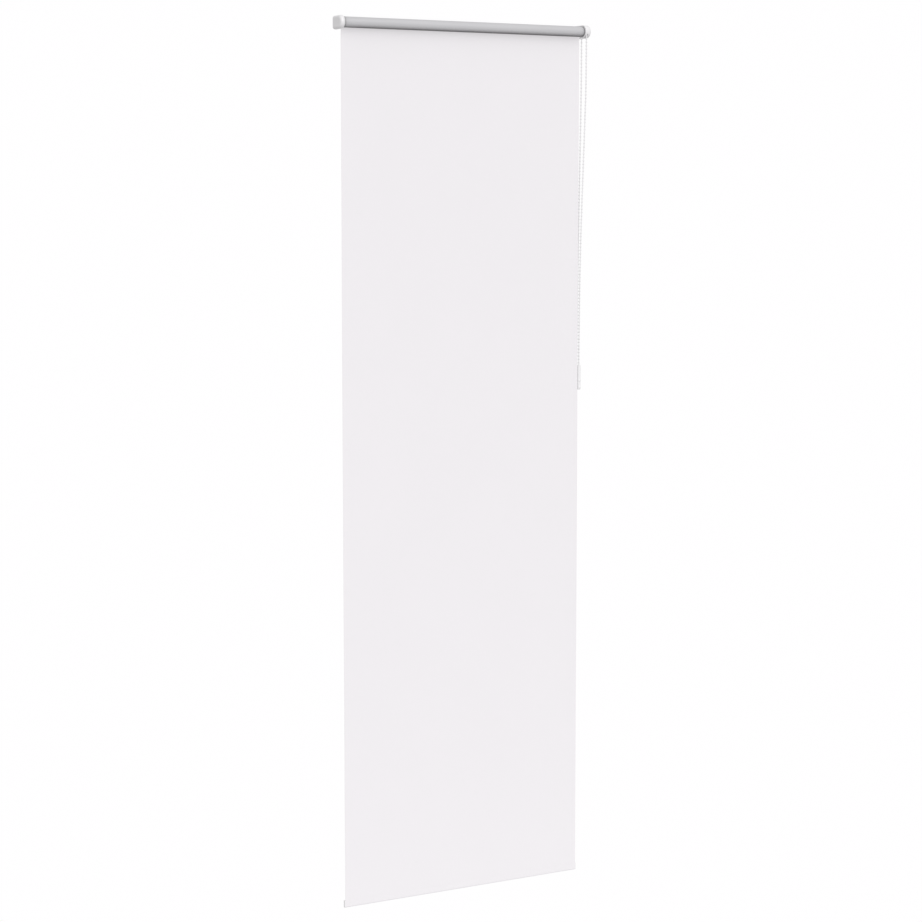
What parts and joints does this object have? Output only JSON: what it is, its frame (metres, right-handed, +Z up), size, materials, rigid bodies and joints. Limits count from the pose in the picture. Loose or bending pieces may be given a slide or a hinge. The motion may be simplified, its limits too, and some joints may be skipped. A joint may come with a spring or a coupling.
{
  "type": "roller blind",
  "caption": "Narrow white roller blind let down fully, with end covers, wall brackets, a side bead-chain loop with a wall tensioner, and a slim hem bar.",
  "frame": {"origin": "centre of the four wall-screw holes, on the wall plane, level with the roller's axis", "axes": "+X along the roller towards the chain side, +Y into the wall, +Z up"},
  "size_m": [0.4812, 0.032, 1.5],
  "materials": {
    "cover_plastic": "satin white moulded plastic",
    "bracket_steel": "white powder coat",
    "tube_metal": "mill finish drawn tube",
    "adhesive": "double-sided tape",
    "cloth": "white coated blackout cloth, silver-grey on the back",
    "plug_plastic": "moulded nylon",
    "clutch_plastic": "glass-filled nylon",
    "spring_steel": "bright spring wire",
    "pin_steel": "turned and polished",
    "chain_plastic": "white beads on a cord",
    "tensioner_plastic": "pale moulded plastic",
    "bar_aluminium": "extruded flat bar"
  },
  "bodies": {
    "wall_side": {"left_bracket": "bracket_steel", "left_cover": "cover_plastic", "right_bracket": "bracket_steel", "right_cover": "cover_plastic", "chain_guard": "cover_plastic", "clutch_core": "clutch_plastic", "clutch_clip": "spring_steel", "chain_front_strand": "chain_plastic", "chain_back_strand": "chain_plastic", "chain_bottom_bend": "chain_plastic", "tensioner_base": "tensioner_plastic", "tensioner_cover": "tensioner_plastic", "tensioner_peg": "pin_steel", "fabric_drop": "cloth"},
    "roller": {"roller_tube": "tube_metal", "adhesive_strip": "adhesive", "fabric_roll": "cloth", "drive_adaptor": "clutch_plastic", "idle_plug": "plug_plastic", "idle_plug_cap": "plug_plastic", "idle_spring": "spring_steel", "wrap_spring_inner": "spring_steel", "wrap_spring_outer": "spring_steel"},
    "idle_pin": {"idle_pin": "pin_steel"},
    "sprocket": {"chain_sprocket": "plug_plastic", "chain_over_sprocket": "chain_plastic"},
    "hem": {"hem_pocket": "cloth", "hem_bar": "bar_aluminium", "hem_cap_left": "cover_plastic", "hem_cap_right": "cover_plastic"}
  },
  "joints": [
    {"name": "roller_turn", "type": "hinge", "parent": "wall_side", "child": "roller", "pos_m": [0, -0.021, 0], "axis": [1, 0, 0], "range_deg": [0, 6840], "deforming": ["chain_over_sprocket"]},
    {"name": "hem_lift", "type": "slide", "parent": "wall_side", "child": "hem", "axis": [0, 0, 1], "range_m": [0, 1.44], "deforming": ["fabric_drop"]},
    {"name": "clutch_play", "type": "hinge", "parent": "roller", "child": "sprocket", "pos_m": [0.234, -0.021, 0], "axis": [1, 0, 0], "range_deg": [-4, 4]},
    {"name": "idle_pin_press", "type": "slide", "parent": "roller", "child": "idle_pin", "axis": [1, 0, 0], "range_m": [0, 0.0036], "stiffness_N_per_m": 600, "springref_m": -0.002, "deforming": ["idle_spring"]}
  ],
  "couplings": [
    {"joint": "hem_lift", "follows": "roller_turn", "m_per_rad": 0.012062}
  ]
}
